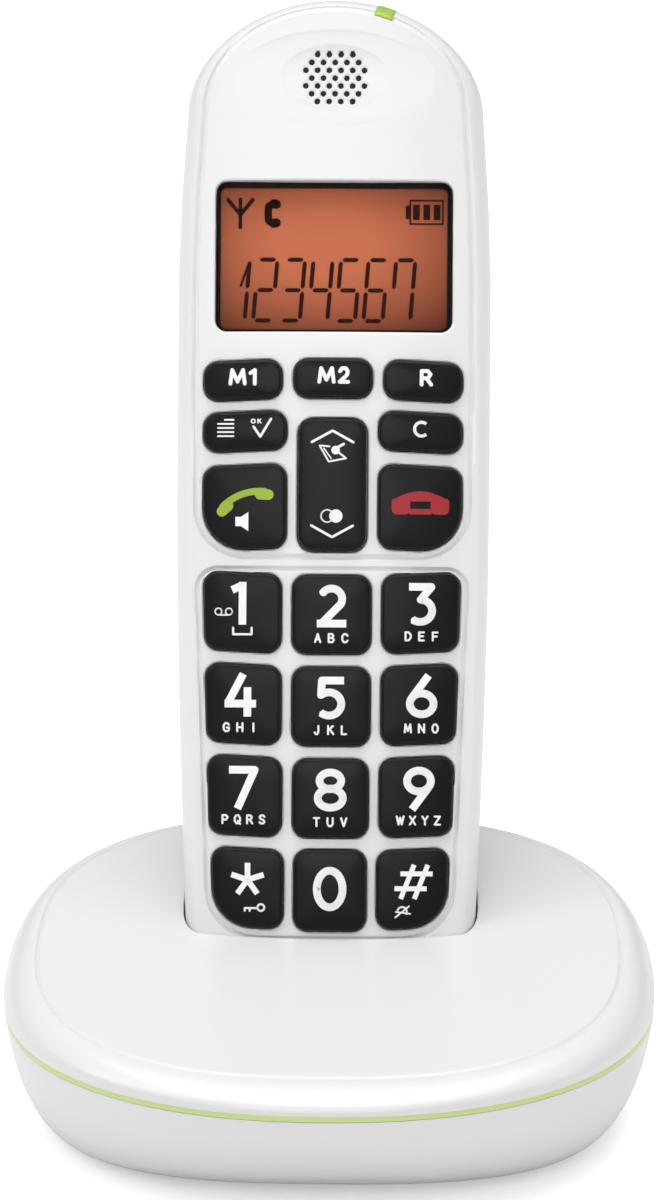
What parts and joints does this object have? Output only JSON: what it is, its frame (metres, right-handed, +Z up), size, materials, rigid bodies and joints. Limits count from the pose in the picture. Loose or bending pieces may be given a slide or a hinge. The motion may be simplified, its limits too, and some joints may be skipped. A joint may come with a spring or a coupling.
{
  "type": "cordless telephone with charging base",
  "caption": "Big-button cordless telephone handset leaning in a rounded white charging base, with dark keys and an amber display.",
  "frame": {"origin": "middle of the whole object's footprint, on the surface it stands on", "axes": "+X to the user's right when facing the keys, -Y towards the user, +Z up"},
  "size_m": [0.105, 0.1213, 0.1714],
  "materials": {
    "white_shell": "gloss",
    "white_door": "gloss",
    "black_key": "satin",
    "clear_window": "clear",
    "black_film": "satin",
    "amber_display": "satin",
    "amber_light": "diffuse",
    "speaker_metal": "plain",
    "felt": "felt",
    "board_green": "solder mask",
    "grey_rubber": "soft",
    "green_trim": "gloss",
    "cell_wrap": "printed wrap",
    "contact_gold": "plated",
    "contact_nickel": "plated",
    "screw_steel": "zinc",
    "black_plastic": "matte",
    "grey_button": "satin",
    "dark_rubber": "soft"
  },
  "bodies": {
    "base": {"base_top_cover": "white_shell", "base_bottom_cover": "white_shell", "trim_ring": "green_trim", "base_circuit_board": "board_green", "base_antenna": "contact_gold", "charge_pin_guides": "black_plastic", "line_socket": "black_plastic", "power_socket": "black_plastic", "base_feet": "dark_rubber", "base_screws": "screw_steel"},
    "handset": {"handset_front_cover": "white_shell", "handset_rear_cover": "white_shell", "display_window": "clear_window", "display_mask": "black_film", "lcd_panel": "amber_display", "backlight": "amber_light", "lcd_holder": "black_plastic", "earpiece_speaker": "speaker_metal", "earpiece_felt": "felt", "ringer_speaker": "speaker_metal", "microphone": "speaker_metal", "handset_circuit_board": "board_green", "keypad_mat": "grey_rubber", "indicator_light_pipe": "green_trim", "battery_left": "cell_wrap", "battery_right": "cell_wrap", "battery_terminals": "contact_nickel", "handset_antenna": "contact_gold", "handset_charge_pads": "contact_nickel", "handset_screws": "screw_steel"},
    "battery_cover": {"battery_cover": "white_door"},
    "key_navigator": {"key_navigator": "black_key"},
    "charge_pin_left": {"charge_pin_left": "contact_gold"},
    "charge_pin_right": {"charge_pin_right": "contact_gold"},
    "page_button": {"page_button": "grey_button"},
    "key_1": {"key_1": "black_key"},
    "key_2": {"key_2": "black_key"},
    "key_3": {"key_3": "black_key"},
    "key_4": {"key_4": "black_key"},
    "key_5": {"key_5": "black_key"},
    "key_6": {"key_6": "black_key"},
    "key_7": {"key_7": "black_key"},
    "key_8": {"key_8": "black_key"},
    "key_9": {"key_9": "black_key"},
    "key_star": {"key_star": "black_key"},
    "key_0": {"key_0": "black_key"},
    "key_hash": {"key_hash": "black_key"},
    "key_memory_1": {"key_memory_1": "black_key"},
    "key_memory_2": {"key_memory_2": "black_key"},
    "key_recall": {"key_recall": "black_key"},
    "key_menu": {"key_menu": "black_key"},
    "key_cancel": {"key_cancel": "black_key"},
    "key_call": {"key_call": "black_key"},
    "key_end": {"key_end": "black_key"}
  },
  "joints": [
    {"name": "handset_lift", "type": "slide", "parent": "base", "child": "handset", "axis": [0, 0.342, 0.9397], "range_m": [0, 0.06]},
    {"name": "battery_cover_off", "type": "slide", "parent": "handset", "child": "battery_cover", "axis": [0, 0.9397, -0.342], "range_m": [0, 0.015]},
    {"name": "key_memory_1_press", "type": "slide", "parent": "handset", "child": "key_memory_1", "axis": [0, 0.9397, -0.342], "range_m": [0, 0.001], "stiffness_N_per_m": 600},
    {"name": "key_memory_2_press", "type": "slide", "parent": "handset", "child": "key_memory_2", "axis": [0, 0.9397, -0.342], "range_m": [0, 0.001], "stiffness_N_per_m": 600},
    {"name": "key_recall_press", "type": "slide", "parent": "handset", "child": "key_recall", "axis": [0, 0.9397, -0.342], "range_m": [0, 0.001], "stiffness_N_per_m": 600},
    {"name": "key_menu_press", "type": "slide", "parent": "handset", "child": "key_menu", "axis": [0, 0.9397, -0.342], "range_m": [0, 0.001], "stiffness_N_per_m": 600},
    {"name": "key_cancel_press", "type": "slide", "parent": "handset", "child": "key_cancel", "axis": [0, 0.9397, -0.342], "range_m": [0, 0.001], "stiffness_N_per_m": 600},
    {"name": "key_call_press", "type": "slide", "parent": "handset", "child": "key_call", "axis": [0, 0.9397, -0.342], "range_m": [0, 0.001], "stiffness_N_per_m": 600},
    {"name": "key_end_press", "type": "slide", "parent": "handset", "child": "key_end", "axis": [0, 0.9397, -0.342], "range_m": [0, 0.001], "stiffness_N_per_m": 600},
    {"name": "key_1_press", "type": "slide", "parent": "handset", "child": "key_1", "axis": [0, 0.9397, -0.342], "range_m": [0, 0.001], "stiffness_N_per_m": 600},
    {"name": "key_2_press", "type": "slide", "parent": "handset", "child": "key_2", "axis": [0, 0.9397, -0.342], "range_m": [0, 0.001], "stiffness_N_per_m": 600},
    {"name": "key_3_press", "type": "slide", "parent": "handset", "child": "key_3", "axis": [0, 0.9397, -0.342], "range_m": [0, 0.001], "stiffness_N_per_m": 600},
    {"name": "key_4_press", "type": "slide", "parent": "handset", "child": "key_4", "axis": [0, 0.9397, -0.342], "range_m": [0, 0.001], "stiffness_N_per_m": 600},
    {"name": "key_5_press", "type": "slide", "parent": "handset", "child": "key_5", "axis": [0, 0.9397, -0.342], "range_m": [0, 0.001], "stiffness_N_per_m": 600},
    {"name": "key_6_press", "type": "slide", "parent": "handset", "child": "key_6", "axis": [0, 0.9397, -0.342], "range_m": [0, 0.001], "stiffness_N_per_m": 600},
    {"name": "key_7_press", "type": "slide", "parent": "handset", "child": "key_7", "axis": [0, 0.9397, -0.342], "range_m": [0, 0.001], "stiffness_N_per_m": 600},
    {"name": "key_8_press", "type": "slide", "parent": "handset", "child": "key_8", "axis": [0, 0.9397, -0.342], "range_m": [0, 0.001], "stiffness_N_per_m": 600},
    {"name": "key_9_press", "type": "slide", "parent": "handset", "child": "key_9", "axis": [0, 0.9397, -0.342], "range_m": [0, 0.001], "stiffness_N_per_m": 600},
    {"name": "key_star_press", "type": "slide", "parent": "handset", "child": "key_star", "axis": [0, 0.9397, -0.342], "range_m": [0, 0.001], "stiffness_N_per_m": 600},
    {"name": "key_0_press", "type": "slide", "parent": "handset", "child": "key_0", "axis": [0, 0.9397, -0.342], "range_m": [0, 0.001], "stiffness_N_per_m": 600},
    {"name": "key_hash_press", "type": "slide", "parent": "handset", "child": "key_hash", "axis": [0, 0.9397, -0.342], "range_m": [0, 0.001], "stiffness_N_per_m": 600},
    {"name": "navigator_rock", "type": "hinge", "parent": "handset", "child": "key_navigator", "pos_m": [0, 0.01703, 0.09703], "axis": [1, 0, 0], "range_deg": [-3, 3], "stiffness_Nm_per_rad": 0.08},
    {"name": "charge_pin_left_press", "type": "slide", "parent": "base", "child": "charge_pin_left", "axis": [0, 0.342, 0.9397], "range_m": [-0.0012, 0], "stiffness_N_per_m": 200},
    {"name": "charge_pin_right_press", "type": "slide", "parent": "base", "child": "charge_pin_right", "axis": [0, 0.342, 0.9397], "range_m": [-0.0012, 0], "stiffness_N_per_m": 200},
    {"name": "page_button_press", "type": "slide", "parent": "base", "child": "page_button", "axis": [0, -1, 0], "range_m": [0, 0.0008], "stiffness_N_per_m": 600}
  ]
}
